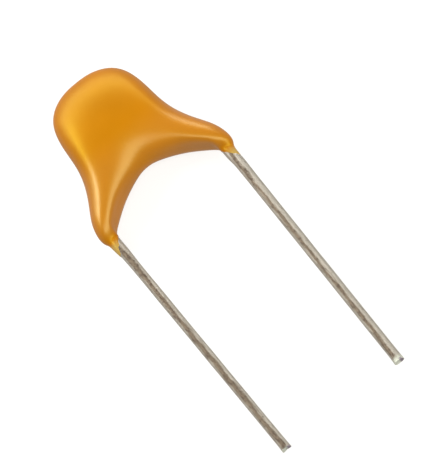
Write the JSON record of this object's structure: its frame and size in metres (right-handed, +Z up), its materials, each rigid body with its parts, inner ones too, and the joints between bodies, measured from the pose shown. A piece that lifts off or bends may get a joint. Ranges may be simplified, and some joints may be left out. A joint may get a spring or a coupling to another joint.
{
  "type": "dipped ceramic capacitor",
  "caption": "Small resin-dipped ceramic capacitor: a glossy orange rounded head that flares into two arms, each ending in a straight tinned wire lead.",
  "frame": {"origin": "middle of the bounding box, on the ground that the part lies on", "axes": "X across the two leads; +Y towards the head, with the leads running towards -Y; +Z up, out of the front face. It lies on its back, on the coating's belly and the two lead tips, so the leads drop by about 3.5 degrees towards their tips."},
  "size_m": [0.0058, 0.016, 0.0021],
  "materials": {
    "orange_resin": "gloss",
    "chip_ceramic": "matte",
    "plate_metal": "satin",
    "end_cap_silver": "satin",
    "solder": "satin",
    "tinned_wire": "satin"
  },
  "bodies": {
    "root": {"coating": "orange_resin", "ceramic_chip": "chip_ceramic", "termination_left": "end_cap_silver", "termination_right": "end_cap_silver", "solder_left": "solder", "solder_right": "solder", "lead_left": "tinned_wire", "lead_right": "tinned_wire", "electrode_plate_01": "plate_metal", "electrode_plate_02": "plate_metal", "electrode_plate_03": "plate_metal", "electrode_plate_04": "plate_metal", "electrode_plate_05": "plate_metal", "electrode_plate_06": "plate_metal", "electrode_plate_07": "plate_metal", "electrode_plate_08": "plate_metal", "electrode_plate_09": "plate_metal", "electrode_plate_10": "plate_metal", "electrode_plate_11": "plate_metal", "electrode_plate_12": "plate_metal"}
  },
  "joints": []
}
